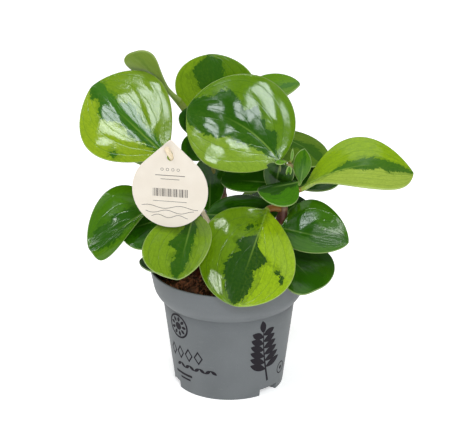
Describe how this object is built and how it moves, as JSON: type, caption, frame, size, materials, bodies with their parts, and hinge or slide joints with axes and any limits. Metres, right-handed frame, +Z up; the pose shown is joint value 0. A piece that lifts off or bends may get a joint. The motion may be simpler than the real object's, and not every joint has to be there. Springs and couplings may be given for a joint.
{
  "type": "potted houseplant",
  "caption": "Bushy variegated peperomia with round fleshy leaves on short stems, growing in a tapered nursery pot with a card tag on a wooden stick.",
  "frame": {"origin": "centre of the pot's flat underside, on the surface that the pot stands on", "axes": "+Z up, -Y towards the front, where the tag and the largest leaves look, +X to the right as seen from the front"},
  "size_m": [0.2469, 0.1537, 0.2614],
  "materials": {
    "pot": "smooth satin recycled plastic, mid grey with a slight blue cast",
    "soil": "rough crumbly dark brown peat",
    "stem": "smooth fleshy reddish brown, slightly waxy",
    "leaf_lime": "glossy waxy lime green with irregular dark green patches along the midrib",
    "leaf_dark": "glossy waxy deep green",
    "leaf_young": "glossy waxy fresh green, young growth",
    "card": "matte cream card",
    "wood": "plain pale wood, unvarnished"
  },
  "bodies": {
    "root": {"pot": "pot", "potting_soil": "soil", "stem_right": "stem", "stem_left": "stem", "stem_back": "stem", "leaf_upper_left": "leaf_lime", "leaf_upper_centre": "leaf_lime", "leaf_top_back": "leaf_lime", "leaf_top_right": "leaf_lime", "leaf_top_left": "leaf_lime", "leaf_mid_left": "leaf_dark", "leaf_under_left": "leaf_dark", "leaf_front_left": "leaf_lime", "leaf_front_centre": "leaf_lime", "leaf_mid_right": "leaf_dark", "leaf_low_right": "leaf_dark", "leaf_long_right": "leaf_lime", "leaf_back_right": "leaf_dark", "leaf_inner_centre": "leaf_dark", "leaf_inner_low": "leaf_dark", "leaf_inner_left": "leaf_dark", "leaf_inner_right": "leaf_dark", "leaf_low_left": "leaf_dark", "leaf_small_right": "leaf_dark", "leaf_shade_upper": "leaf_dark", "leaf_shade_middle": "leaf_dark", "leaf_rear_top": "leaf_lime", "leaf_rear_left": "leaf_dark", "leaf_rear_right": "leaf_lime", "leaf_rear_low": "leaf_dark", "leaf_rear_side": "leaf_lime", "leaf_rear_low_left": "leaf_dark", "leaf_young_upright": "leaf_young", "leaf_young_folded": "leaf_young", "leaf_young_behind": "leaf_young", "bud_leaf": "leaf_young", "bud_rolled": "leaf_young", "bud_spike": "leaf_young", "plant_tag": "card", "tag_stick": "wood"}
  },
  "joints": []
}
